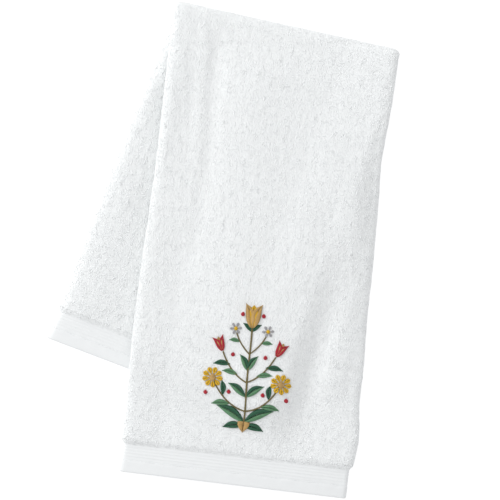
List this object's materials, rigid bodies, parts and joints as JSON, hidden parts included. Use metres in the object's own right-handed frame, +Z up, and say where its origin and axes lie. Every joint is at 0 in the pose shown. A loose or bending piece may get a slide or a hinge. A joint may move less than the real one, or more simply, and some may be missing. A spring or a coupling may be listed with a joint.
{
  "type": "hand towel",
  "caption": "White cotton terry hand towel with flat woven end borders, lying with its sides turned under and its length folded over on a slant.",
  "frame": {"origin": "on the surface the towel lies on, under the middle of its folded outline", "axes": "+Y along the front half from its hem to the crossing fold, +X along the front hem to the right, +Z up out of the surface"},
  "size_m": [0.2738, 0.402, 0.0199],
  "materials": {
    "terry_pile": "looped white cotton pile, dull",
    "woven_border": "flat ribbed white cotton weave with a stitched hem",
    "embroidery_thread": "glossy stranded thread in green, gold, yellow, red and grey"
  },
  "bodies": {
    "root": {"towel": "terry_pile"}
  },
  "joints": []
}
